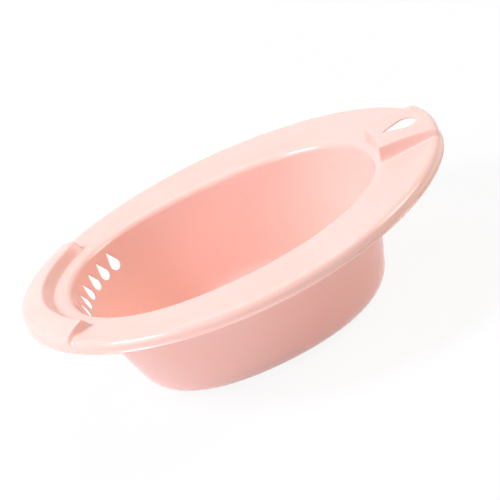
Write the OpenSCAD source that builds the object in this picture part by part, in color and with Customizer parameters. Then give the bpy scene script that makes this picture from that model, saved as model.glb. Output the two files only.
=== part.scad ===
// Oval bath basin moulded in one piece: a rounded bowl with a wide sloping rim.
// The moulding is drawn as its named regions. They share their boundary faces exactly.
// Units are millimetres. +X runs along the basin towards the hanging tab, +Z is up.

/* [Rim] */
// Overall length over the bead of the rim
rim_length = 400; // [380:5:430]
// Overall width over the bead of the rim
rim_width = 330; // [310:5:350]
// Height of the rim's outer edge at mid length above the surface the basin stands on
rim_height = 117; // [105:1:130]
// How much higher the rim is at its two ends than at mid length
rim_bow = 4.5; // [0:0.5:7]
// How far the rim falls from its outer edge to the opening
rim_fall = 4; // [2:0.5:6]
// Height of the turned-down skirt, bead included
skirt_depth = 11; // [10:0.5:14]
// Radius between the rim and its skirt
shoulder_radius = 6; // [4:0.5:6.5]
// How far the bead stands out of the skirt
bead_out = 0.8; // [0.7:0.1:2]
// Height of the bead
bead_height = 1.6; // [1.4:0.1:2.4]

/* [Bowl] */
// Width of the rim in front, from its outer edge to the opening
front_rim = 45.5; // [40:0.5:50]
// Width of the rim at the back, where the tab is
back_rim = 62.5; // [60:0.5:68]
// Width of the rim at each side
side_rim = 59; // [50:0.5:64]
// How far the wall leans in between the opening and the floor in front
front_lean = 29.5; // [20:0.5:36]
// How far the wall leans in at the back
back_lean = 31.5; // [20:0.5:38]
// How far the wall leans in at each side
side_lean = 19; // [12:0.5:26]
// Outside radius between the floor and the wall
corner_radius = 33; // [20:1:40]
// Radius of the rolled edge between the wall and the rim
roll_radius = 7; // [5:0.5:8]
// Thickness of the moulding
wall = 1.5; // [1.2:0.1:2.5]

/* [Outline] */
// Squareness of the rim oval, 2 is an ellipse
rim_square = 1.95; // [1.9:0.05:2.2]
// Squareness of the bowl oval, 2 is an ellipse
bowl_square = 2.15; // [2:0.05:2.3]
// How much wider the bowl is in front than behind, as a share of its width
bowl_egg = 0.04; // [0:0.01:0.08]

/* [Overflow drops] */
// Number of drop-shaped holes in the front of the wall
drop_count = 11; // [5:2:11]
// Distance from one drop to the next along the wall
drop_pitch = 16.2; // [14:0.2:17]
// Height of a drop
drop_length = 20; // [14:1:21]
// Width of a drop
drop_width = 11.5; // [8:0.5:12]
// Depth of a drop's tip below the opening
drop_depth = 7; // [6:0.5:10]
// How much further down the tips in the middle of the row are, so that the row stays level
drop_dip = 3; // [0:0.5:4]

/* [Front guard] */
// Height of the guard above the rim at the top of its inner slope
guard_rise = 9; // [5:0.5:11]
// Height of the guard above the rim at its outer end
guard_end_rise = 3.5; // [2:0.5:5]
// Width of the band of rim the guard stands on, its inner slope included
guard_width = 30; // [26:1:32]
// Width of the guard's inner slope
guard_slope = 8; // [5:0.5:10]
// Distance between the guard's two ends, across the basin
guard_span = 202; // [160:2:220]

/* [Hanging tab] */
// Width of the tab at the rim's edge
tab_width = 77; // [60:1:84]
// Height of the tab above the rim at its inner end
tab_rise = 13; // [9:0.5:15]
// Height of the tab above the rim at its outer end
tab_end_rise = 6; // [3:0.5:7]
// Length of the hanging slot
slot_length = 32; // [24:1:34]
// Width of the hanging slot
slot_width = 21; // [14:1:23]
// Distance from the slot's round end to the rim's edge
slot_inset = 15; // [13:0.5:18]

/* [Hidden] */
plastic = [0.96, 0.76, 0.72];

// The opening leaves the rim its widths, and the base leaves the wall its lean
opening_length = rim_length - front_rim - back_rim;
opening_width = rim_width - 2 * side_rim;
opening_shift = (back_rim - front_rim) / 2;
base_length = opening_length - front_lean - back_lean;
base_width = opening_width - 2 * side_lean;
base_shift = opening_shift + (back_lean - front_lean) / 2;

// Width of the steep sides of the guard and the tab
step_width = 4;
// How round the tops of the guard and the tab are, 1 is flat, and the angles at which
// they dip towards the rim's edge
crown = 1.5;
guard_run = guard_width - guard_slope - shoulder_radius;
tab_run = back_rim - roll_radius - shoulder_radius;
guard_dip = atan(crown * (guard_rise - guard_end_rise) / guard_run);
tab_dip = atan(crown * (tab_rise - tab_end_rise) / tab_run);
// Millimetres along the rim in one degree of the outline's angle
rim_degree = (rim_length + rim_width) * PI / 720;
// Half angles covered by the tab and the guard, and by their steep sides
tab_angle = asin(tab_width / rim_width);
guard_angle = asin(guard_span / rim_width);
step_angle = step_width / rim_degree;
wall_angle = wall / rim_degree;

// Largest angle between two sections of the outline
coarse = 3.4;
// Sections across a steep side
fine_count = 6;

// ---------- the outline, section by section ----------

// A list of count + 1 values from a to b
function spaced(a, b, count) = [for (i = [0 : count]) a + (b - a) * i / count];

// The same list without its last value, so that lists can follow each other
function steps(a, b, count) = [for (i = [0 : count - 1]) a + (b - a) * i / count];

function even(a, b) = steps(a, b, ceil((b - a) / coarse));

side_angle = step_angle + wall_angle;
// Half of the outline from the middle of the tab to the middle of the guard
half_angles = concat(
    even(0, tab_angle - side_angle),
    steps(tab_angle - side_angle, tab_angle, fine_count),
    even(tab_angle, 90),
    even(90, 180 - guard_angle),
    steps(180 - guard_angle, 180 - guard_angle + side_angle, fine_count),
    even(180 - guard_angle + side_angle, 180),
    [180]
);
// The other half mirrors it. The list runs from the tab's right side round to the start.
angles = concat(
    [for (i = [len(half_angles) - 1 : -1 : 1]) if (half_angles[i] <= tab_angle) -half_angles[i]],
    half_angles,
    [for (i = [len(half_angles) - 2 : -1 : 1]) if (half_angles[i] > tab_angle) 360 - half_angles[i]]
);
columns = len(angles);

function signed_power(v, p) = sign(v) * pow(abs(v), p);

// Point of an oval at angle t, egg makes it wider towards -X
function oval(length, width, square, egg, shift, t) = [
    length / 2 * signed_power(cos(t), 2 / square) - shift,
    width / 2 * signed_power(sin(t), 2 / square) * (1 - egg * cos(t))
];

function base_point(t) = oval(base_length, base_width, bowl_square, bowl_egg, base_shift, t);
function opening_point(t) =
    oval(opening_length, opening_width, bowl_square, bowl_egg, opening_shift, t);
function rim_point(t) = oval(rim_length, rim_width, rim_square, 0, 0, t);

function bow(x) = rim_bow * pow(2 * x / rim_length, 2);

// Smooth rise from 0 to 1 as u goes from 0 to 1
function ease(u) = (1 - cos(180 * min(max(u, 0), 1))) / 2;

// ---------- one section ----------
// A section holds, for one angle of the outline:
// 0 base point, 1 outward direction, 2 sideways lean of the wall, 3 reach of the opening,
// 4 height of the opening, 5 reach of the skirt's face, 6 height of the rim's edge,
// 7 slope of the wall, 8 slope of the rim, 9 angle of the outline
function section(t) =
    let (
        base = base_point(t),
        opening = opening_point(t),
        rim = rim_point(t),
        out = (rim - opening) / norm(rim - opening),
        reach = (opening - base) * out,
        top = rim_height - rim_fall + bow(opening.x),
        lean = (opening - base - reach * out) / top,
        edge = rim_height + bow(rim.x),
        face = reach + norm(rim - opening) - bead_out,
        wall_slope = atan((reach + wall / cos(atan(reach / top))) / top),
        rim_slope = atan((edge - top) / (face - reach))
    )
    [base, out, lean, reach, top, face, edge, wall_slope, rim_slope, t];

sections = [for (t = angles) section(t)];

// Point of section s at distance r from the base point and height z
function place(s, r, z) =
    let (
        above = min(max((r - s[3]) / roll_radius, 0), 1),
        level = min(z, s[4]) * (1 - above) + s[4] * above,
        p = s[0] + r * s[1] + level * s[2]
    )
    [p.x, p.y, z];

function arc(centre, radius, a) = centre + radius * [cos(a), sin(a)];

// Rounded corner of the base: deep is 0 on the outside and wall on the inside
function corner(s, deep, u) =
    let (tangent = corner_radius / tan(45 + s[7] / 2))
    arc([-tangent, corner_radius], corner_radius - deep, -90 + u * (90 - s[7]));

// Rolled edge from the wall to the rim: deep is 0 on the inside and wall on the outside
function roll(s, deep, u) =
    let (
        tangent = roll_radius / tan(45 + (s[7] + s[8]) / 2),
        end = [s[3], s[4]] + tangent * [cos(s[8]), sin(s[8])],
        centre = end + roll_radius * [sin(s[8]), -cos(s[8])]
    )
    arc(centre, roll_radius - deep, (180 - s[7]) * (1 - u) + (90 + s[8]) * u);

// ---------- raised parts of the rim ----------
// In all of them deep is 0 for the top and wall for the hollow underneath.

function turn(t) = t > 180 ? t - 360 : t;

// 1 on the tab, easing to 0 at its two sides, and the same for the guard
function tab_side(t, deep) =
    ease((tab_angle - abs(turn(t)) - deep / rim_degree) / step_angle);
function guard_side(t, deep) =
    ease((guard_angle - abs(t - 180) - deep / rim_degree) / step_angle);

// Slope of the top where it meets the shoulder
function end_slope(s) = s[8] - tab_side(s[9], 0) * tab_dip - guard_side(s[9], 0) * guard_dip;

// Distances at which the rim starts and ends, and its height without tab and guard
function rim_start(s) = roll(s, 0, 1);
function rim_end(s) = s[5] - shoulder_radius * (1 + sin(end_slope(s)));
function rim_level(s, r) = rim_start(s)[1] + (r - rim_start(s)[0]) * tan(s[8]);

function tab_height(s, r, deep) =
    let (
        first = rim_start(s)[0],
        share = max(r - first, 0) / (rim_end(s) - first),
        rise = tab_rise + (tab_end_rise - tab_rise) * pow(share, crown)
    )
    rise * tab_side(s[9], deep) * ease((r - first - deep) / step_width);

function guard_height(s, r, deep) =
    let (
        first = s[5] - guard_width,
        peak = first + guard_slope,
        share = max(r - peak, 0) / (rim_end(s) - peak),
        rise = guard_rise + (guard_end_rise - guard_rise) * pow(share, crown)
    )
    rise * guard_side(s[9], deep) * ease((r - first - deep) / guard_slope);

// Height that the tab or the guard adds at the rim's edge
function end_rise(s, deep) =
    tab_end_rise * tab_side(s[9], deep) + guard_end_rise * guard_side(s[9], deep);

// Shoulder from the rim to the skirt
function shoulder(s, deep, u) =
    let (
        slope = end_slope(s),
        level = rim_level(s, rim_end(s)) + end_rise(s, deep),
        centre = [s[5] - shoulder_radius, level - shoulder_radius * cos(slope)]
    )
    arc(centre, shoulder_radius - deep, (90 + slope) * (1 - u));

// Point of the rim in section s at distance r, raised by raise
function on_rim(s, deep, r, raise) =
    let (
        first = rim_start(s)[0],
        share = (r - first) / (rim_end(s) - first),
        slope = s[8] + (end_slope(s) - s[8]) * share
    )
    place(s, r + deep * sin(slope), rim_level(s, r) - deep * cos(slope) + raise);

// ---------- rows of points, one row per station along the section ----------

function at(s, p) = place(s, p[0], p[1]);

// The rounded corner is split halfway up
corner_count = 4;
function corner_rows(deep, from, to) =
    [for (u = spaced(from, to, corner_count)) [for (s = sections) at(s, corner(s, deep, u))]];

wall_shares = [0, 0.5, 1];
function wall_rows(inside) =
    [for (u = wall_shares) [for (s = sections)
        let (
            low = corner(s, inside ? wall : 0, 1),
            high = roll(s, inside ? 0 : wall, 0)
        )
        at(s, low + u * (high - low))
    ]];

roll_count = 5;
function roll_rows(deep) =
    [for (u = spaced(0, 1, roll_count)) [for (s = sections) at(s, roll(s, deep, u))]];

// The flat rim has three rows: its start, the guard's inner foot and its end
function flange_reach(s, row) = [rim_start(s)[0], s[5] - guard_width, rim_end(s)][row];
function flange_rows(deep) =
    [for (row = [0 : 2]) [for (s = sections) on_rim(s, deep, flange_reach(s, row), 0)]];

shoulder_count = 5;
function skirt_end(s, deep) = [s[5] - deep, s[6] - skirt_depth + bead_height];
function skirt_rows(deep) = concat(
    [for (u = spaced(0, 1, shoulder_count)) [for (s = sections) at(s, shoulder(s, deep, u))]],
    [[for (s = sections) at(s, skirt_end(s, deep))]]
);

function inside_guard(t) = abs(t - 180) < guard_angle + 0.001;
function inside_tab(t) = abs(turn(t)) < tab_angle + 0.001;
guard_sections = [for (s = sections) if (inside_guard(s[9])) s];

// The guard's rows are close together on its inner slope
function guard_stations(s) =
    let (first = s[5] - guard_width)
    concat(
        steps(first, first + guard_slope + wall, 9),
        spaced(first + guard_slope + wall, rim_end(s), 7)
    );
function guard_rows(deep) =
    [for (row = [0 : 16]) [for (s = guard_sections)
        let (r = guard_stations(s)[row])
        on_rim(s, deep, r, guard_height(s, r, deep))
    ]];

// The tab's columns run from -tab_angle to +tab_angle through 0
tab_columns = [for (s = sections) if (s[9] < tab_angle + 0.001) s];
function tab_stations(s) =
    let (first = rim_start(s)[0])
    concat(
        steps(first, first + step_width + wall, 8),
        spaced(first + step_width + wall, rim_end(s), 6)
    );
function tab_rows(deep) =
    [for (row = [0 : 14]) [for (s = tab_columns)
        let (r = tab_stations(s)[row])
        on_rim(s, deep, r, tab_height(s, r, deep))
    ]];

// ---------- solids ----------

function flatten(list) = [for (row = list) each row];

// Two triangles of the quad a b c d, cut from a to c
function quad(a, b, c, d) = [[a, b, c], [a, c, d]];

// A plate between two skins of rows. Only the cells that keep(row, column) allows are made.
module plate(top, bottom, closed, keep = function (row, column) true) {
    rows = len(top);
    count = len(top[0]);
    cells = closed ? count : count - 1;
    under = rows * count;
    function kept(row, column) =
        row >= 0 && row < rows - 1
        && (closed || (column >= 0 && column < cells))
        && keep(row, (column + cells) % cells);
    function id(row, column) = row * count + column % count;
    faces = [
        for (row = [0 : rows - 2], column = [0 : cells - 1])
            if (kept(row, column))
                let (
                    a = id(row, column),
                    b = id(row, column + 1),
                    c = id(row + 1, column + 1),
                    d = id(row + 1, column)
                )
                each concat(
                    quad(a, b, c, d),
                    quad(under + d, under + c, under + b, under + a),
                    kept(row - 1, column) ? [] : quad(b, a, under + a, under + b),
                    kept(row + 1, column) ? [] : quad(d, c, under + c, under + d),
                    kept(row, column - 1) ? [] : quad(a, d, under + d, under + a),
                    kept(row, column + 1) ? [] : quad(c, b, under + b, under + c)
                )
    ];
    polyhedron(points = concat(flatten(top), flatten(bottom)), faces = faces, convexity = 8);
}

// Regions that run all round are two halves, which meet beside the middle of the basin
function half(front) = function (row, column)
    (angles[column] > 89.99 && angles[column] < 269.99) == front;

// A closed hoop whose profile is a closed loop of rows
module hoop(rows) {
    count = len(rows);
    faces = [
        for (row = [0 : count - 1], column = [0 : columns - 1])
            let (
                next_row = (row + 1) % count,
                next_column = (column + 1) % columns
            )
            each quad(
                row * columns + column,
                row * columns + next_column,
                next_row * columns + next_column,
                next_row * columns + column
            )
    ];
    polyhedron(points = flatten(rows), faces = faces, convexity = 8);
}

// A drop lying in the plane, its tip at the origin and its round end towards +X
module drop(length, width) {
    radius = width / 2;
    centre = length - radius;
    open = acos(radius / centre);
    polygon(concat(
        [[0, 0]],
        [for (a = spaced(open - 180, 180 - open, 20)) [centre, 0] + radius * [cos(a), sin(a)]]
    ));
}

// ---------- the drops along the front of the wall ----------

function drop_top(s) = s[4] - drop_depth - drop_dip * pow(cos(s[9]), 2);
// Middle of the wall in section s at height z
function wall_middle(s, z) =
    let (
        low = (corner(s, 0, 1) + corner(s, wall, 1)) / 2,
        high = (roll(s, wall, 0) + roll(s, 0, 0)) / 2
    )
    at(s, low + (high - low) * (z - low[1]) / (high[1] - low[1]));

// Length along the wall from the middle of the front, for angles of the outline up to 80 degrees
drop_angles = spaced(0, 80, 80);
drop_points = [for (a = drop_angles)
    let (s = section(180 - a)) wall_middle(s, drop_top(s) - drop_length / 2)];
function length_to(i) =
    i == 0 ? 0 : length_to(i - 1) + norm(drop_points[i] - drop_points[i - 1]);
drop_table = [for (i = [0 : len(drop_angles) - 1]) [length_to(i), drop_angles[i]]];

module drop_cutter(index) {
    along = (index - (drop_count - 1) / 2) * drop_pitch;
    s = section(180 - sign(along) * lookup(abs(along), drop_table));
    beside = section(s[9] + 1);
    tip = wall_middle(s, drop_top(s));
    across = wall_middle(beside, drop_top(s)) - tip;
    translate(tip)
        rotate([0, 0, atan2(across.y, across.x) - 90])
            rotate([0, 90 + s[7], 0])
                linear_extrude(height = 6 * wall, center = true)
                    drop(drop_length, drop_width);
}

// ---------- the named parts ----------

module bowl_floor() {
    color(plastic)
        linear_extrude(height = wall)
            polygon([for (s = sections) let (p = at(s, corner(s, 0, 0))) [p.x, p.y]]);
}

module floor_corner(front) {
    plate(corner_rows(wall, 0, 0.5), corner_rows(0, 0, 0.5), true, half(front));
}

module wall_corner(front) {
    plate(corner_rows(wall, 0.5, 1), corner_rows(0, 0.5, 1), true, half(front));
}

module bowl_wall(front) {
    plate(wall_rows(true), wall_rows(false), true, half(front));
}

module front_floor_corner() {
    color(plastic)
        floor_corner(true);
}

module back_floor_corner() {
    color(plastic)
        floor_corner(false);
}

module front_wall_corner() {
    color(plastic)
        wall_corner(true);
}

module back_wall_corner() {
    color(plastic)
        wall_corner(false);
}

module front_wall() {
    color(plastic)
        difference() {
            bowl_wall(true);
            for (index = [0 : drop_count - 1])
                drop_cutter(index);
        }
}

module back_wall() {
    color(plastic)
        bowl_wall(false);
}

module rolled_edge() {
    color(plastic)
        plate(roll_rows(0), roll_rows(wall), true);
}

module rim_flange() {
    on_tab = function (column) abs(turn(angles[column] + 0.01)) < tab_angle;
    on_guard = function (column) abs(angles[column] + 0.01 - 180) < guard_angle;
    color(plastic)
        plate(flange_rows(0), flange_rows(wall), true, function (row, column)
            !on_tab(column) && (row == 0 || !on_guard(column)));
}

module rim_skirt(front) {
    plate(skirt_rows(0), skirt_rows(wall), true, half(front));
}

module front_skirt() {
    color(plastic)
        rim_skirt(true);
}

module back_skirt() {
    color(plastic)
        rim_skirt(false);
}

module skirt_bead() {
    radius = bead_height / 2;
    function ring(r, z) = [for (s = sections) at(s, skirt_end(s, 0) + [r, z])];
    color(plastic)
        hoop(concat(
            [ring(0, 0)],
            [for (a = spaced(60, -90, 5))
                ring(bead_out - radius + radius * cos(a), -radius + radius * sin(a))],
            [ring(-wall, -bead_height), ring(-wall, 0)]
        ));
}

module front_guard() {
    color(plastic)
        plate(guard_rows(0), guard_rows(wall), false);
}

module hanging_tab() {
    color(plastic)
        difference() {
            plate(tab_rows(0), tab_rows(wall), false);
            translate([rim_length / 2 - slot_inset - slot_length, 0, rim_height - skirt_depth])
                linear_extrude(height = skirt_depth + rim_bow + 2 * tab_rise)
                    drop(slot_length, slot_width);
        }
}

bowl_floor();
front_floor_corner();
back_floor_corner();
front_wall_corner();
back_wall_corner();
front_wall();
back_wall();
rolled_edge();
rim_flange();
front_skirt();
back_skirt();
skirt_bead();
front_guard();
hanging_tab();
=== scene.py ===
"""Looks of the bath basin: one pale pink moulding, seen as in its photograph.

Lengths are in metres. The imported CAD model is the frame, and the basin stands on z = 0 in it.
"""

import math
from functools import partial

import bmesh
import bpy
from mathutils import Matrix, Vector
from mathutils.bvhtree import BVHTree


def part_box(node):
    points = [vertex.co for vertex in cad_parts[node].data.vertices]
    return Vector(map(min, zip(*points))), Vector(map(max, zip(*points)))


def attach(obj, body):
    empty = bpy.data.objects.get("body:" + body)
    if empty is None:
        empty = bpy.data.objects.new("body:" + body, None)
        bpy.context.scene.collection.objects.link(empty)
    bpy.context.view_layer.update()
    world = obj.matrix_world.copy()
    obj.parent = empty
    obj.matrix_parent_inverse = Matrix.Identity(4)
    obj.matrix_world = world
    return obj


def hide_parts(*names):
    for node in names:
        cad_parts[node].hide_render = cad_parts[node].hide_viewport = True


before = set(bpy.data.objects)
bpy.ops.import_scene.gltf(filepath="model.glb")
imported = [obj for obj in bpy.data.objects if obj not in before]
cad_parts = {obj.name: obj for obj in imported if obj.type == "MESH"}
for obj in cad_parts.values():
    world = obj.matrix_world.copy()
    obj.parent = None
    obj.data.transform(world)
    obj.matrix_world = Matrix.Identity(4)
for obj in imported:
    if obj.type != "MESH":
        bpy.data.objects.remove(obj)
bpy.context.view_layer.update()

# ---------------------------------------------------------------------------------------------
# Camera
# It looks at the basin's long side from above the rim, rolled so that the tab's end is higher.
# ---------------------------------------------------------------------------------------------
PHOTO_WIDTH = 500
PHOTO_HEIGHT = 500
PHOTO_LONG_SIDE = max(PHOTO_WIDTH, PHOTO_HEIGHT)
LENS = 91.99
SENSOR_WIDTH = 36.0
CAMERA_AZIMUTH = math.radians(1.82)
CAMERA_ELEVATION = math.radians(25.36)
CAMERA_ROLL = math.radians(-25.77)
CAMERA_DISTANCE = 1.1385
CAMERA_TARGET = Vector((0.0052, 0.0, 0.0800))
CAMERA_NEAR = 0.05
CAMERA_FAR = 50.0

# Where things show in the photograph: edges as one number, features as x and y
IMAGE_POINTS = {
    "left_x": 23.5,
    "right_x": 444.0,
    "top_y": 106.5,
    "bottom_y": 390.0,
    "drop_far_1": (113.3, 262.1),
    "drop_far_2": (102.6, 272.8),
    "drop_far_3": (95.0, 283.6),
    "drop_far_4": (89.6, 293.5),
    "drop_far_5": (86.6, 302.7),
    "slot_tip": (382.3, 132.5),
    "slot_round_end": (415.9, 119.0),
    "guard_near_inner_corner": (78.6, 320.7),
    "guard_near_outer_corner": (66.0, 335.0),
    "tab_near_inner_corner": (380.0, 147.3),
}

view_back = Vector((
    math.sin(CAMERA_AZIMUTH) * math.cos(CAMERA_ELEVATION),
    -math.cos(CAMERA_AZIMUTH) * math.cos(CAMERA_ELEVATION),
    math.sin(CAMERA_ELEVATION),
))
camera = bpy.data.objects.new("camera", bpy.data.cameras.new("camera"))
camera.data.sensor_fit = "AUTO"
camera.data.sensor_width = SENSOR_WIDTH
camera.data.lens = LENS
camera.data.clip_start = CAMERA_NEAR
camera.data.clip_end = CAMERA_FAR
camera.matrix_world = (
    Matrix.Translation(CAMERA_TARGET + view_back * CAMERA_DISTANCE)
    @ view_back.to_track_quat("Z", "Y").to_matrix().to_4x4()
    @ Matrix.Rotation(CAMERA_ROLL, 4, "Z")
)
bpy.context.scene.collection.objects.link(camera)
bpy.context.scene.camera = camera


# ---------------------------------------------------------------------------------------------
# Basin moulding: its outline
# The real piece is one injection moulding in glossy polypropylene, coloured through and 1.5 mm
# thick. It is lofted here from upright sections that stand round the bowl like spokes.
# ---------------------------------------------------------------------------------------------
bead_low, bead_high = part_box("skirt_bead")
floor_low, floor_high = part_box("bowl_floor")
RIM_LENGTH = bead_high.x - bead_low.x
RIM_WIDTH = bead_high.y - bead_low.y
WALL = floor_high.z - floor_low.z
RIM_HEIGHT = 0.117
RIM_BOW = 0.0045
RIM_FALL = 0.004
FRONT_RIM = 0.0455
BACK_RIM = 0.0625
SIDE_RIM = 0.059
FRONT_LEAN = 0.0295
BACK_LEAN = 0.0315
SIDE_LEAN = 0.019
RIM_SQUARE = 1.95
BOWL_SQUARE = 2.15
BOWL_EGG = 0.04
BEAD_OUT = 0.0008

OPENING_LENGTH = RIM_LENGTH - FRONT_RIM - BACK_RIM
OPENING_WIDTH = RIM_WIDTH - 2 * SIDE_RIM
OPENING_SHIFT = (BACK_RIM - FRONT_RIM) / 2
BASE_LENGTH = OPENING_LENGTH - FRONT_LEAN - BACK_LEAN
BASE_WIDTH = OPENING_WIDTH - 2 * SIDE_LEAN
BASE_SHIFT = OPENING_SHIFT + (BACK_LEAN - FRONT_LEAN) / 2

# Rounded corner of the base, rolled edge of the opening and shoulder of the skirt
CORNER_RADIUS = 0.033
ROLL_RADIUS = 0.007
SHOULDER_RADIUS = 0.006
SKIRT_DEPTH = 0.011
BEAD_HEIGHT = 0.0016

# Guard in front and tab at the back, both raised from the rim and hollow underneath
STEP_WIDTH = 0.004
CROWN = 1.5
GUARD_RISE = 0.009
GUARD_END_RISE = 0.0035
GUARD_WIDTH = 0.030
GUARD_SLOPE = 0.008
GUARD_SPAN = 0.202
TAB_WIDTH = 0.077
TAB_RISE = 0.013
TAB_END_RISE = 0.006

# Rows of the rim: over the tab's step, on to the guard, up its slope and over its top
RIM_ROWS = (9, 5, 12, 8)

# How much their tops dip towards the rim's edge, in degrees
GUARD_DIP = math.degrees(math.atan(
    CROWN * (GUARD_RISE - GUARD_END_RISE) / (GUARD_WIDTH - GUARD_SLOPE - SHOULDER_RADIUS)
))
TAB_DIP = math.degrees(math.atan(
    CROWN * (TAB_RISE - TAB_END_RISE) / (BACK_RIM - ROLL_RADIUS - SHOULDER_RADIUS)
))
RIM_DEGREE = (RIM_LENGTH + RIM_WIDTH) * math.pi / 720
GUARD_ANGLE = math.degrees(math.asin(GUARD_SPAN / RIM_WIDTH))
TAB_ANGLE = math.degrees(math.asin(TAB_WIDTH / RIM_WIDTH))
STEP_ANGLE = STEP_WIDTH / RIM_DEGREE
SIDE_ANGLE = STEP_ANGLE + WALL / RIM_DEGREE


def oval(length, width, square, egg, shift, angle):
    """Point of an oval at an angle in degrees; egg makes it wider in front."""
    c, s = math.cos(math.radians(angle)), math.sin(math.radians(angle))
    return Vector((
        math.copysign(abs(c) ** (2 / square), c) * length / 2 - shift,
        math.copysign(abs(s) ** (2 / square), s) * width / 2 * (1 - egg * c),
    ))


def ease(u):
    """Smooth rise from 0 to 1."""
    return (1 - math.cos(math.pi * min(max(u, 0), 1))) / 2


def arc(centre, radius, angle):
    """Point of an arc at an angle in degrees."""
    a = math.radians(angle)
    return centre + radius * Vector((math.cos(a), math.sin(a)))


class Section:
    """One upright slice: r runs outwards from the base's edge and z up."""

    def __init__(self, angle):
        self.angle = angle
        self.base = oval(BASE_LENGTH, BASE_WIDTH, BOWL_SQUARE, BOWL_EGG, BASE_SHIFT, angle)
        opening = oval(
            OPENING_LENGTH, OPENING_WIDTH, BOWL_SQUARE, BOWL_EGG, OPENING_SHIFT, angle
        )
        rim = oval(RIM_LENGTH, RIM_WIDTH, RIM_SQUARE, 0, 0, angle)
        self.out = (rim - opening).normalized()
        self.reach = (opening - self.base).dot(self.out)
        self.top = RIM_HEIGHT - RIM_FALL + RIM_BOW * (2 * opening.x / RIM_LENGTH) ** 2
        self.edge = RIM_HEIGHT + RIM_BOW * (2 * rim.x / RIM_LENGTH) ** 2
        self.lean = (opening - self.base - self.reach * self.out) / self.top
        self.face = self.reach + (rim - opening).length - BEAD_OUT
        slant = math.atan(self.reach / self.top)
        self.wall_slope = math.degrees(
            math.atan((self.reach + WALL / math.cos(slant)) / self.top)
        )
        self.rim_slope = math.degrees(
            math.atan((self.edge - self.top) / (self.face - self.reach))
        )
        # Angles from the middle of the tab and from the middle of the guard
        self.from_tab = min(angle, 360 - angle)
        self.from_guard = abs(angle - 180)
        self.end_slope = math.radians(
            self.rim_slope - self.tab_side(0) * TAB_DIP - self.guard_side(0) * GUARD_DIP
        )
        self.rim_start = self.roll(0, 1)
        self.rim_end = self.face - SHOULDER_RADIUS * (1 + math.sin(self.end_slope))

    def place(self, point):
        """The point (r, z) of this slice in the part's frame."""
        r, z = point
        above = min(max((r - self.reach) / ROLL_RADIUS, 0), 1)
        level = min(z, self.top) * (1 - above) + self.top * above
        flat = self.base + r * self.out + level * self.lean
        return Vector((flat.x, flat.y, z))

    def corner(self, deep, u):
        """Corner of the base: deep is 0 outside and WALL inside, u runs up from the floor."""
        tangent = CORNER_RADIUS / math.tan(math.radians(45 + self.wall_slope / 2))
        centre = Vector((-tangent, CORNER_RADIUS))
        return arc(centre, CORNER_RADIUS - deep, -90 + u * (90 - self.wall_slope))

    def roll(self, deep, u):
        """Rolled edge: deep is 0 inside and WALL outside, u runs from the wall to the rim."""
        slope = math.radians(self.rim_slope)
        tangent = ROLL_RADIUS / math.tan(
            math.radians(45 + (self.wall_slope + self.rim_slope) / 2)
        )
        along_rim = Vector((math.cos(slope), math.sin(slope)))
        end = Vector((self.reach, self.top)) + tangent * along_rim
        centre = end + ROLL_RADIUS * Vector((math.sin(slope), -math.cos(slope)))
        start_angle, end_angle = 180 - self.wall_slope, 90 + self.rim_slope
        return arc(centre, ROLL_RADIUS - deep, start_angle * (1 - u) + end_angle * u)

    def wall(self, deep, u):
        """Straight wall: deep is 0 inside and WALL outside, u runs down to the corner."""
        return self.roll(deep, 0).lerp(self.corner(WALL - deep, 1), u)

    def tab_side(self, deep):
        """1 on the tab, easing to 0 at its two sides."""
        return ease((TAB_ANGLE - self.from_tab - deep / RIM_DEGREE) / STEP_ANGLE)

    def guard_side(self, deep):
        """1 on the guard, easing to 0 at its two ends."""
        return ease((GUARD_ANGLE - self.from_guard - deep / RIM_DEGREE) / STEP_ANGLE)

    def tab_height(self, r, deep):
        """How far the tab stands above the rim at r."""
        first = self.rim_start.x
        share = max(r - first, 0) / (self.rim_end - first)
        rise = TAB_RISE + (TAB_END_RISE - TAB_RISE) * share ** CROWN
        return rise * self.tab_side(deep) * ease((r - first - deep) / STEP_WIDTH)

    def guard_height(self, r, deep):
        """How far the guard stands above the rim at r."""
        first = self.face - GUARD_WIDTH
        peak = first + GUARD_SLOPE
        share = max(r - peak, 0) / (self.rim_end - peak)
        rise = GUARD_RISE + (GUARD_END_RISE - GUARD_RISE) * share ** CROWN
        return rise * self.guard_side(deep) * ease((r - first - deep) / GUARD_SLOPE)

    def rim_level(self, r):
        """Height of the rim at r without the tab and the guard."""
        slope = math.tan(math.radians(self.rim_slope))
        return self.rim_start.y + (r - self.rim_start.x) * slope

    def rim(self, deep, r):
        """Point of the rim at r: deep is 0 on top and WALL underneath."""
        share = (r - self.rim_start.x) / (self.rim_end - self.rim_start.x)
        start_slope = math.radians(self.rim_slope)
        slope = start_slope + (self.end_slope - start_slope) * share
        raised = self.tab_height(r, deep) + self.guard_height(r, deep)
        level = self.rim_level(r) + raised
        return Vector((r + deep * math.sin(slope), level - deep * math.cos(slope)))

    def shoulder(self, deep, u):
        """Shoulder: deep is 0 on top and WALL underneath, u runs from the rim to the skirt."""
        raised = TAB_END_RISE * self.tab_side(deep) + GUARD_END_RISE * self.guard_side(deep)
        centre = Vector((
            self.face - SHOULDER_RADIUS,
            self.rim_level(self.rim_end) + raised - SHOULDER_RADIUS * math.cos(self.end_slope),
        ))
        start_angle = 90 + math.degrees(self.end_slope)
        return arc(centre, SHOULDER_RADIUS - deep, start_angle * (1 - u))

    def rim_reaches(self):
        """Distances of the rim's rows, close together where the tab or the guard rises."""
        first = self.rim_start.x
        tab_top = first + STEP_WIDTH + WALL
        guard_low = self.face - GUARD_WIDTH
        guard_top = guard_low + GUARD_SLOPE + WALL
        stops = (first, tab_top, guard_low, guard_top, self.rim_end)
        rows = []
        for start, end, count in zip(stops, stops[1:], RIM_ROWS):
            rows += spaced(start, end, count)
        return rows + [self.rim_end]


def spaced(start, end, count):
    """count values from start towards end, without end itself."""
    return [start + (end - start) * i / count for i in range(count)]


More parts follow.
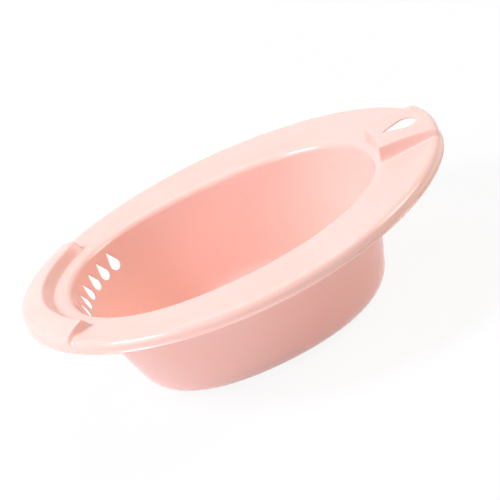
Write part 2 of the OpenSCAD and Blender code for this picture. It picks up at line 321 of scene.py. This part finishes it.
# ---------------------------------------------------------------------------------------------
# Basin moulding: where the sections stand
# Overflow drops are cut through the front of the wall, so the sections there keep an even
# distance along the wall. They are close together at the sides of the tab and the guard.
# ---------------------------------------------------------------------------------------------
DROP_COUNT = 11
DROP_PITCH = 0.0162
DROP_LENGTH = 0.020
DROP_WIDTH = 0.0115
DROP_DEPTH = 0.007
DROP_DIP = 0.003
COLUMNS_PER_DROP = 8
COLUMN_STEP = DROP_PITCH / COLUMNS_PER_DROP

# Steps between sections, in degrees: on plain wall, at the slot and the smallest one allowed.
# Even steps along the wall are found in steps of SEARCH_STEP, and FINE_COLUMNS stand where the
# side of the tab or of the guard rises.
WIDEST_STEP = 2.2
SLOT_COLUMN_STEP = 1.0
CLOSEST_STEP = 0.12
SEARCH_STEP = 0.05
FINE_COLUMNS = 7


def drop_share(section, below_tip=0.0):
    """Share of the wall's length from the rolled edge down to a drop's tip, or below it."""
    top, low = section.wall(WALL / 2, 0), section.wall(WALL / 2, 1)
    depth = DROP_DEPTH + DROP_DIP * math.cos(math.radians(section.angle)) ** 2
    tip = (top.y - section.top + depth) / (top.y - low.y)
    return tip + below_tip / (top - low).length


def even_wall_angles(half_count):
    """Angles before 180 whose sections are COLUMN_STEP apart along the wall."""
    found, walked, degree = [], 0.0, 180.0
    place = None
    while len(found) < half_count:
        section = Section(degree)
        here = section.place(section.wall(WALL / 2, drop_share(section, DROP_LENGTH / 2)))
        if place is not None:
            before, walked = walked, walked + (here - place).length
            target = (len(found) + 1) * COLUMN_STEP
            if walked >= target:
                found.append(degree + SEARCH_STEP * (walked - target) / (walked - before))
        place = here
        degree -= SEARCH_STEP
    return found


drop_half_columns = (DROP_COUNT * COLUMNS_PER_DROP) // 2
front_angles = even_wall_angles(drop_half_columns)
drop_limit = front_angles[-1]
slot_limit = TAB_ANGLE - SIDE_ANGLE

guard_side = 180 - GUARD_ANGLE
guard_angles = spaced(guard_side, guard_side + SIDE_ANGLE, FINE_COLUMNS)
half = (
    spaced(0, slot_limit, math.ceil(slot_limit / SLOT_COLUMN_STEP))
    + spaced(slot_limit, TAB_ANGLE, FINE_COLUMNS)
    + spaced(TAB_ANGLE, 90, math.ceil((90 - TAB_ANGLE) / WIDEST_STEP))
    + spaced(90, drop_limit, math.ceil((drop_limit - 90) / WIDEST_STEP))
    + front_angles
    + [a for a in guard_angles if min(abs(a - f) for f in front_angles) > CLOSEST_STEP]
    + [180.0]
)
half = sorted(set(half))
angles = half + [360 - a for a in reversed(half[1:-1])]
sections = [Section(a) for a in angles]
COLUMNS = len(sections)


# ---------------------------------------------------------------------------------------------
# Basin moulding: its skin
# A ring of edges is drawn out again and again, from the middle of the floor up the inside,
# over the rim, round the bead and back underneath to the middle of the base.
# ---------------------------------------------------------------------------------------------
CORNER_ROWS = 12
WALL_ROWS_ABOVE = 2
DROP_ROWS = 10
WALL_ROWS_BELOW = 9
ROLL_ROWS = 8
SHOULDER_ROWS = 9
DROP_MARGIN = 0.0017
BEAD_RADIUS = BEAD_HEIGHT / 2
LIP_RADIUS = 0.0006
BEAD_ANGLES = (60, 38, 16, -6, -28, -50, -70, -90)
LIP_ANGLES = (-90, -120, -150, -180)
FLOOR_SHARES = (0.3, 0.6, 0.85)

# The first row at the drops is at least this share of the wall below the rolled edge
HIGHEST_SHARE = 0.015


def ring_of(point_of):
    """One point of every section, all the way round."""
    return [s.place(point_of(s)) for s in sections]


def wall_shares(section):
    """Rows of the wall, from the rolled edge to the corner, close together at the drops."""
    first = max(drop_share(section, -DROP_MARGIN), HIGHEST_SHARE)
    last = drop_share(section, DROP_LENGTH + DROP_MARGIN)
    return (
        spaced(0, first, WALL_ROWS_ABOVE)
        + spaced(first, last, DROP_ROWS)
        + spaced(last, 1, WALL_ROWS_BELOW)
        + [1.0]
    )


def bead_profile(section):
    """Bead and lip, from the skirt's face round to its inner side."""
    corner = Vector((section.face, section.edge - SKIRT_DEPTH + BEAD_HEIGHT))
    centre = corner + Vector((BEAD_OUT - BEAD_RADIUS, -BEAD_RADIUS))
    lip = corner + Vector((LIP_RADIUS - WALL, LIP_RADIUS - BEAD_HEIGHT))
    return (
        [corner]
        + [arc(centre, BEAD_RADIUS, a) for a in BEAD_ANGLES]
        + [arc(lip, LIP_RADIUS, a) for a in LIP_ANGLES]
        + [corner + Vector((-WALL, 0))]
    )


reaches = [s.rim_reaches() for s in sections]
shares = [wall_shares(s) for s in sections]
beads = [bead_profile(s) for s in sections]


def corner_rings(deep):
    return [ring_of(lambda s: s.corner(deep, i / CORNER_ROWS)) for i in range(CORNER_ROWS)]


def wall_rings(deep):
    """From the rolled edge down to the corner."""
    return [
        [s.place(s.wall(deep, shares[i][row])) for i, s in enumerate(sections)]
        for row in range(len(shares[0]))
    ]


def roll_rings(deep):
    return [ring_of(lambda s: s.roll(deep, i / ROLL_ROWS)) for i in range(1, ROLL_ROWS)]


def rim_rings(deep):
    return [
        [s.place(s.rim(deep, reaches[i][row])) for i, s in enumerate(sections)]
        for row in range(len(reaches[0]))
    ]


def shoulder_rings(deep):
    rows = range(1, SHOULDER_ROWS + 1)
    return [ring_of(lambda s: s.shoulder(deep, i / SHOULDER_ROWS)) for i in rows]


bead_rings = [
    [s.place(beads[i][row]) for i, s in enumerate(sections)]
    for row in range(len(beads[0]))
]
inside_wall = wall_rings(0)[::-1]
under_wall = wall_rings(WALL)

floor_edge = corner_rings(WALL)[0]
floor_middle = Vector((-BASE_SHIFT, 0, WALL))
floor_rings = [[floor_middle.lerp(p, share) for p in floor_edge] for share in FLOOR_SHARES]

rings = floor_rings + corner_rings(WALL)
inside_start = len(rings)
rings += inside_wall + roll_rings(0)
top_start = len(rings)
rings += rim_rings(0) + shoulder_rings(0) + bead_rings
rings += shoulder_rings(WALL)[::-1]
under_start = len(rings)
rings += rim_rings(WALL)[::-1] + roll_rings(WALL)[::-1]
outside_start = len(rings)
rings += under_wall + corner_rings(0)[::-1]
rings += [[Vector((p.x, p.y, 0)) for p in ring] for ring in reversed(floor_rings)]

shell = bmesh.new()
column_of = shell.verts.layers.int.new("column")
row_of = shell.verts.layers.int.new("row")
ring = bmesh.ops.create_circle(shell, segments=COLUMNS)["verts"]
for column, vert in enumerate(ring):
    vert[column_of] = column
    vert.co = rings[0][column]
inner_pole = list(ring)
edges = list(shell.edges)
for row, points in enumerate(rings[1:], start=1):
    drawn = bmesh.ops.extrude_edge_only(shell, edges=edges)["geom"]
    edges = [g for g in drawn if isinstance(g, bmesh.types.BMEdge)]
    ring = [g for g in drawn if isinstance(g, bmesh.types.BMVert)]
    for vert in ring:
        vert[row_of] = row
        vert.co = points[vert[column_of]]
bmesh.ops.pointmerge(shell, verts=inner_pole, merge_co=floor_middle)
bmesh.ops.pointmerge(shell, verts=ring, merge_co=Vector((-BASE_SHIFT, 0, 0)))


# ---------------------------------------------------------------------------------------------
# Basin moulding: overflow drops and hanging slot
# Both are moulded through: a drop-shaped hole with the tip up the wall, or towards the bowl in
# the tab. A patch of the skin is opened on both sides, drawn in to the hole and joined through.
# ---------------------------------------------------------------------------------------------
SLOT_LENGTH = 0.032
SLOT_WIDTH = 0.021
SLOT_INSET = 0.015
HOLE_EDGE_RADIUS = 0.0004
HOLE_EDGE_ROWS = 2
ANGLE_SLACK = 1e-4
RIM_SAMPLES = 12

# The slot's patch: columns to each side of the tab's middle, and rows of the rim
SLOT_HALF_COLUMNS = 6
SLOT_ROWS = range(9, 32)


def drop_outline(length, width, share):
    """Point (across, along) of a drop at a share of the way round it, starting at its tip."""
    radius = width / 2
    to_centre = length - radius
    half_tip = math.asin(radius / to_centre)
    side = to_centre * math.cos(half_tip)
    walked = min(share, 1 - share) * 2 * (side + radius * (math.pi / 2 + half_tip))
    if walked < side:
        across, along = walked * math.sin(half_tip), walked * math.cos(half_tip)
    else:
        turn = (walked - side) / radius - half_tip
        across, along = radius * math.cos(turn), to_centre + radius * math.sin(turn)
    return (across if share <= 0.5 else -across), along


def open_patch(rows, columns, hole_point, tip_column):
    """Replaces the skin between those rows and columns by a ring of faces round a hole. The
    hole's tip is in the first row, at tip_column. Returns the hole's edges."""
    first, last = rows[0], rows[-1]
    middle = columns.index(tip_column)
    border = (
        [(first, c) for c in columns[middle:]]
        + [(r, columns[-1]) for r in rows[1:]]
        + [(last, c) for c in columns[-2::-1]]
        + [(r, columns[0]) for r in rows[-2:0:-1]]
        + [(first, c) for c in columns[:middle]]
    )
    border = [skin[at] for at in border]
    patch = {skin[r, c] for r in rows for c in columns}
    faces = {f for v in patch for f in v.link_faces if patch.issuperset(f.verts)}
    bmesh.ops.delete(shell, geom=list(faces), context="FACES")

    lengths = [(a.co - b.co).length for a, b in zip(border, border[1:] + border[:1])]
    walked = [sum(lengths[:i]) / sum(lengths) for i in range(len(border))]
    share_of = dict(zip(border, walked))
    border_edges = [shell.edges.get(pair) for pair in zip(border, border[1:] + border[:1])]
    drawn = bmesh.ops.extrude_edge_only(shell, edges=border_edges)["geom"]
    for vert in (g for g in drawn if isinstance(g, bmesh.types.BMVert)):
        others = (e.other_vert(vert) for e in vert.link_edges)
        vert.co = hole_point(next(share_of[other] for other in others if other in share_of))
    return [g for g in drawn if isinstance(g, bmesh.types.BMEdge)]


def join_through(top_edges, under_edges):
    """Joins the two rims of a hole and rounds them."""
    bmesh.ops.bridge_loops(shell, edges=top_edges + under_edges)
    bmesh.ops.bevel(
        shell,
        geom=top_edges + under_edges,
        offset=HOLE_EDGE_RADIUS,
        segments=HOLE_EDGE_ROWS,
        profile=0.5,
        affect="EDGES",
        material=-1,
    )


skin = {(v[row_of], v[column_of]): v for v in shell.verts}
skin_tree = BVHTree.FromBMesh(shell)


def angle_along(walked):
    """Outline angle at a distance along the wall from the middle of the front."""
    steps = [180.0] + front_angles
    position = abs(walked) / COLUMN_STEP
    index = min(int(position), len(steps) - 2)
    angle = steps[index] + (steps[index + 1] - steps[index]) * (position - index)
    return angle if walked >= 0 else 360 - angle


def drop_point(along_wall, deep, share):
    """Point of a drop's rim: deep is 0 inside the wall and WALL outside."""
    across, along = drop_outline(DROP_LENGTH, DROP_WIDTH, share)
    section = Section(angle_along(along_wall - across))
    return section.place(section.wall(deep, drop_share(section, along)))


def slot_point(underneath, share):
    """Point of the slot's rim, on top of the tab or underneath."""
    across, along = drop_outline(SLOT_LENGTH, SLOT_WIDTH, share)
    start = Vector((slot_tip + along, across, 0 if underneath else 1))
    return skin_tree.ray_cast(start, Vector((0, 0, 1 if underneath else -1)))[0]


wall_rows = len(shares[0])
drop_rows = range(WALL_ROWS_ABOVE, WALL_ROWS_ABOVE + DROP_ROWS + 1)
inside_rows = [inside_start + wall_rows - 1 - r for r in drop_rows]
outside_rows = [outside_start + r for r in drop_rows]
patch_half_width = (COLUMNS_PER_DROP // 2 - 1) * COLUMN_STEP

# Each drop's rims are sampled too, to find its middle in the picture
drop_rims = []
for number in range(DROP_COUNT):
    along_wall = (number - DROP_COUNT // 2) * DROP_PITCH
    low, high = sorted(angle_along(along_wall + side * patch_half_width) for side in (-1, 1))
    columns = [i for i, a in enumerate(angles) if low - ANGLE_SLACK < a < high + ANGLE_SLACK]
    centre_angle = angle_along(along_wall)
    centre_column = min(columns, key=lambda i: abs(angles[i] - centre_angle))
    join_through(*[
        open_patch(rows, columns, partial(drop_point, along_wall, deep), centre_column)
        for rows, deep in ((inside_rows, 0), (outside_rows, WALL))
    ])
    drop_rims.append([
        drop_point(along_wall, deep, share)
        for share in spaced(0, 1, RIM_SAMPLES)
        for deep in (0, WALL)
    ])

rim_rows = len(reaches[0])
top_rows = [top_start + r for r in SLOT_ROWS]
under_rows = [under_start + rim_rows - 1 - r for r in SLOT_ROWS]
slot_tip = RIM_LENGTH / 2 - SLOT_INSET - SLOT_LENGTH
slot_columns = [c % COLUMNS for c in range(-SLOT_HALF_COLUMNS, SLOT_HALF_COLUMNS + 1)]
slot_ends = [slot_point(False, share) for share in (0, 0.5)]
join_through(*[
    open_patch(rows, slot_columns, partial(slot_point, underneath), 0)
    for rows, underneath in ((top_rows, False), (under_rows, True))
])

bmesh.ops.recalc_face_normals(shell, faces=shell.faces)
mesh = bpy.data.meshes.new("basin")
shell.to_mesh(mesh)
basin = bpy.data.objects.new("basin", mesh)
bpy.context.scene.collection.objects.link(basin)
for polygon in mesh.polygons:
    polygon.use_smooth = True

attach(basin, "root")
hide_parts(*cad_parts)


# ---------------------------------------------------------------------------------------------
# Basin moulding: its plastic
# Polypropylene coloured pale pink all through, polished by the mould. Light comes through its
# thin wall a little warmer. Standing and cleaning leave fine scratches low down.
# ---------------------------------------------------------------------------------------------
PALE_PINK = (0.965, 0.632, 0.566, 1.0)
DEEP_PINK = (0.957, 0.607, 0.536, 1.0)
CLOUD_SIZE = 0.080
CLOUD_RANGE = (0.35, 0.65)
POLYPROPYLENE_IOR = 1.49

# Roughness of the polished surface, and how much its patches and scratches add
POLISH = 0.12
PATCH_SIZE = CLOUD_SIZE / 3
PATCH_ROUGHNESS = 0.06
SCRATCH_ROUGHNESS = 0.20

# Relief of the surface: the grain's height and the scratches' depth are shares of the waves'
WAVE_SIZE = 0.0055
WAVE_HEIGHT = 0.000016
GRAIN_SIZE = 0.0009
GRAIN_SHARE = 0.04
SCRATCH_SHARE = 0.25

# Scratches run slantwise round the foot and are gone at SCRATCHED_UP_TO above the floor
SCRATCH_SIZE = 0.0012
SCRATCH_LENGTH = 12.0
SCRATCH_SLANT = 0.5
SCRATCH_RANGE = (0.60, 0.72)
SCRATCHED_FROM = 0.001
SCRATCHED_UP_TO = 0.012

# Light that goes in and comes out again: its share, and how far red, green and blue go
LIGHT_INSIDE = 0.45
LIGHT_REACH = (1.0, 0.36, 0.24)
LIGHT_DEPTH = 0.004


class Field:
    """A shader value that changes over the surface. Its sums and products are Math nodes."""

    def __init__(self, finish, socket):
        self.finish = finish
        self.socket = socket

    def math(self, operation, first, second):
        terms = {0: first, 1: second}
        return self.finish.add("Math", {"operation": operation}, terms, "Value")

    def __add__(self, other):
        return self.math("ADD", self, other)

    def __radd__(self, other):
        return self.math("ADD", other, self)

    def __sub__(self, other):
        return self.math("SUBTRACT", self, other)

    def __rsub__(self, other):
        return self.math("SUBTRACT", other, self)

    def __mul__(self, other):
        return self.math("MULTIPLY", self, other)

    def __rmul__(self, other):
        return self.math("MULTIPLY", other, self)

    def within(self, low, high):
        """0 below low, 1 above high and a straight rise between them."""
        limits = {"Value": self, "From Min": low, "From Max": high}
        return self.finish.add("MapRange", {"clamp": True}, limits, "Result")


class Finish:
    """A material or a world whose nodes are all added by one method."""

    def __init__(self, owner):
        self.owner = owner
        owner.use_nodes = True
        self.tree = owner.node_tree
        self.tree.nodes.clear()

    def add(self, kind, settings, inputs, output=None):
        """Adds a node. Its settings come first, then the values or links of its sockets."""
        node = self.tree.nodes.new("ShaderNode" + kind)
        for name, value in settings.items():
            setattr(node, name, value)
        for name, value in inputs.items():
            if isinstance(value, Field):
                self.tree.links.new(value.socket, node.inputs[name])
            else:
                node.inputs[name].default_value = value
        return Field(self, node.outputs[output]) if output is not None else node


plastic = Finish(bpy.data.materials.new("pink_polypropylene"))
spot = plastic.add("TexCoord", {}, {}, "Object")
height = plastic.add("SeparateXYZ", {}, {"Vector": spot}, "Z")


def cloud(finish, vector, size, detail):
    """Soft noise from 0 to 1 with spots of about that size."""
    return finish.add(
        "TexNoise", {}, {"Vector": vector, "Scale": 1 / size, "Detail": detail}, "Fac"
    )


tint = cloud(plastic, spot, CLOUD_SIZE, detail=2.0).within(*CLOUD_RANGE)
pink = plastic.add(
    "Mix",
    {"data_type": "RGBA"},
    {"Factor": tint, 6: PALE_PINK, 7: DEEP_PINK},
    2,
)

drawn_out = plastic.add(
    "Mapping",
    {},
    {"Vector": spot, "Rotation": (0, 0, SCRATCH_SLANT), "Scale": (1, SCRATCH_LENGTH, 1)},
    "Vector",
)
streaks = cloud(plastic, drawn_out, SCRATCH_SIZE * SCRATCH_LENGTH, detail=3.0)
low_down = 1 - height.within(SCRATCHED_FROM, SCRATCHED_UP_TO)
scratches = streaks.within(*SCRATCH_RANGE) * low_down
patches = cloud(plastic, spot, PATCH_SIZE, detail=3.0)
waves = cloud(plastic, spot, WAVE_SIZE, detail=1.0)
grain = cloud(plastic, spot, GRAIN_SIZE, detail=2.0)
roughness = POLISH + patches * PATCH_ROUGHNESS + scratches * SCRATCH_ROUGHNESS
relief = waves + grain * GRAIN_SHARE - scratches * SCRATCH_SHARE
normal = plastic.add(
    "Bump", {}, {"Height": relief, "Strength": 1.0, "Distance": WAVE_HEIGHT}, "Normal"
)
shader = plastic.add(
    "BsdfPrincipled",
    {"subsurface_method": "RANDOM_WALK"},
    {
        "Base Color": pink,
        "Roughness": roughness,
        "Normal": normal,
        "IOR": POLYPROPYLENE_IOR,
        "Subsurface Weight": LIGHT_INSIDE,
        "Subsurface Radius": LIGHT_REACH,
        "Subsurface Scale": LIGHT_DEPTH,
    },
    "BSDF",
)
plastic.add("OutputMaterial", {}, {"Surface": shader})
mesh.materials.append(plastic.owner)


# ---------------------------------------------------------------------------------------------
# Studio: floor
# A wide sheet of white paper that shows white to the camera and in reflections, and keeps a
# faint shadow of the basin.
# ---------------------------------------------------------------------------------------------
PAPER_HALF_SIZE = 6.0
PAPER_DROP = 0.0002
PAPER_WHITE = (0.90, 0.90, 0.90, 1.0)
PLAIN_WHITE = (1.0, 1.0, 1.0, 1.0)

# The shadow's strength, and how far from the basin's middle it starts to fade and is gone
SHADOW_SHARE = 0.10
SHADOW_REACH = 0.35
SHADOW_END = 3 * SHADOW_REACH

sheet = bmesh.new()
bmesh.ops.create_grid(sheet, x_segments=1, y_segments=1, size=PAPER_HALF_SIZE)
bmesh.ops.translate(sheet, verts=sheet.verts, vec=(0, 0, -PAPER_DROP))
paper_mesh = bpy.data.meshes.new("paper_floor")
sheet.to_mesh(paper_mesh)
sheet.free()
paper_floor = bpy.data.objects.new("paper_floor", paper_mesh)
bpy.context.scene.collection.objects.link(paper_floor)


def seen_directly(finish):
    """1 for rays from the camera and for reflected and refracted ones, 0 for all others."""
    kinds = ("Is Camera Ray", "Is Glossy Ray", "Is Transmission Ray")
    camera_ray, glossy_ray, transmission_ray = (
        finish.add("LightPath", {}, {}, kind) for kind in kinds
    )
    return (camera_ray + glossy_ray + transmission_ray).within(0, 1)


paper = Finish(bpy.data.materials.new("white_paper"))
lit = paper.add("BsdfDiffuse", {}, {"Color": PAPER_WHITE}, "BSDF")
white = paper.add("Emission", {}, {"Color": PLAIN_WHITE, "Strength": 1.0}, "Emission")
paper_spot = paper.add("TexCoord", {}, {}, "Object")
from_basin = paper.add("VectorMath", {"operation": "LENGTH"}, {0: paper_spot}, "Value")
far_off = from_basin.within(SHADOW_REACH, SHADOW_END)
share = seen_directly(paper) * (1 - SHADOW_SHARE * (1 - far_off))
mixed = paper.add("MixShader", {}, {0: share, 1: lit, 2: white}, "Shader")
paper.add("OutputMaterial", {}, {"Surface": mixed})
paper_mesh.materials.append(paper.owner)


# ---------------------------------------------------------------------------------------------
# Studio: light
# A softbox high at the front end gives the long glint on the shoulder. A lower one beside it
# and a wide one overhead carry its light round the wall, and a warm one fills in at the tab.
# ---------------------------------------------------------------------------------------------
SURROUNDING_LEVEL = 0.17
COOL_WHITE = (0.97, 0.91, 1.0)
NEUTRAL_WHITE = (1.0, 0.97, 0.99)
WARM_WHITE = (1.0, 0.94, 0.82)

surrounding = Finish(bpy.data.worlds.new("studio"))
level = SURROUNDING_LEVEL + seen_directly(surrounding) * (1 - SURROUNDING_LEVEL)
even = surrounding.add(
    "Background", {}, {"Color": PLAIN_WHITE, "Strength": level}, "Background"
)
surrounding.add("OutputWorld", {}, {"Surface": even})
bpy.context.scene.world = surrounding.owner


def softbox(name, towards, distance, width, depth, watts, colour):
    """An area lamp in a direction from the middle of the basin, facing it."""
    lamp = bpy.data.objects.new(name, bpy.data.lights.new(name, "AREA"))
    lamp.data.shape = "RECTANGLE"
    lamp.data.size = width
    lamp.data.size_y = depth
    lamp.data.energy = watts
    lamp.data.color = colour
    away = Vector(towards).normalized()
    lamp.matrix_world = (
        Matrix.Translation(Vector((0, 0, RIM_HEIGHT)) + away * distance)
        @ away.to_track_quat("Z", "Y").to_matrix().to_4x4()
    )
    bpy.context.scene.collection.objects.link(lamp)


softbox(
    "front_softbox", towards=(-0.62, -0.13, 0.77), distance=2.6,
    width=0.6, depth=0.6, watts=51, colour=COOL_WHITE,
)
softbox(
    "overhead_softbox", towards=(0.05, 0.35, 0.94), distance=2.4,
    width=1.4, depth=0.8, watts=12, colour=COOL_WHITE,
)
softbox(
    "side_softbox", towards=(-0.75, -0.45, 0.5), distance=2.6,
    width=1.6, depth=1.6, watts=20, colour=NEUTRAL_WHITE,
)
softbox(
    "fill_softbox", towards=(0.80, -0.10, 0.60), distance=2.6,
    width=1.1, depth=1.1, watts=28, colour=WARM_WHITE,
)
bpy.context.scene.view_settings.view_transform = "Standard"


# ---------------------------------------------------------------------------------------------
# Image points
# How far each named feature of the finished basin shows from its place in the photograph.
# ---------------------------------------------------------------------------------------------
FAR_DROPS_SEEN = 5
OFF_SURFACE = 0.0003

finished = BVHTree.FromPolygons(
    [v.co for v in mesh.vertices], [p.vertices for p in mesh.polygons]
)
camera_place = camera.matrix_world.translation
to_camera = camera.matrix_world.inverted()


def shown_at(point):
    """Pixels of the photograph at which a point of the basin shows."""
    seen = to_camera @ point
    scale = PHOTO_LONG_SIDE * LENS / SENSOR_WIDTH / -seen.z
    return PHOTO_WIDTH / 2 + seen.x * scale, PHOTO_HEIGHT / 2 - seen.y * scale


def in_view(vertex):
    """Whether nothing of the basin stands between the camera and that vertex."""
    start = vertex.co + vertex.normal * OFF_SURFACE
    return finished.ray_cast(start, camera_place - start)[0] is None


def edge_of_view(axis, furthest):
    """Smallest or largest pixel, across or down, at which a vertex of the basin shows."""
    ordered = sorted(mesh.vertices, key=lambda v: shown_at(v.co)[axis], reverse=furthest)
    return shown_at(next(v for v in ordered if in_view(v)).co)[axis]


def middle(points):
    return sum(points, Vector()) / len(points)


near_guard_end = Section(180 + GUARD_ANGLE - STEP_ANGLE)
near_tab_side = Section(360 - TAB_ANGLE + STEP_ANGLE)
guard_top = near_guard_end.face - GUARD_WIDTH + GUARD_SLOPE
tab_top = near_tab_side.rim_start.x + STEP_WIDTH
features = {
    f"drop_far_{i}": middle(drop_rims[DROP_COUNT - i]) for i in range(1, FAR_DROPS_SEEN + 1)
}
features.update(
    slot_tip=slot_ends[0],
    slot_round_end=slot_ends[1],
    guard_near_inner_corner=near_guard_end.place(near_guard_end.rim(0, guard_top)),
    guard_near_outer_corner=near_guard_end.place(near_guard_end.shoulder(0, 0)),
    tab_near_inner_corner=near_tab_side.place(near_tab_side.rim(0, tab_top)),
)
sides = {"left_x": (0, False), "right_x": (0, True), "top_y": (1, False), "bottom_y": (1, True)}
for name, wanted in IMAGE_POINTS.items():
    if name in sides:
        axis, furthest = sides[name]
        round(edge_of_view(axis, furthest) - wanted, 2)
    else:
        across, down = shown_at(features[name])
        round(across - wanted[0], 2)
        round(down - wanted[1], 2)
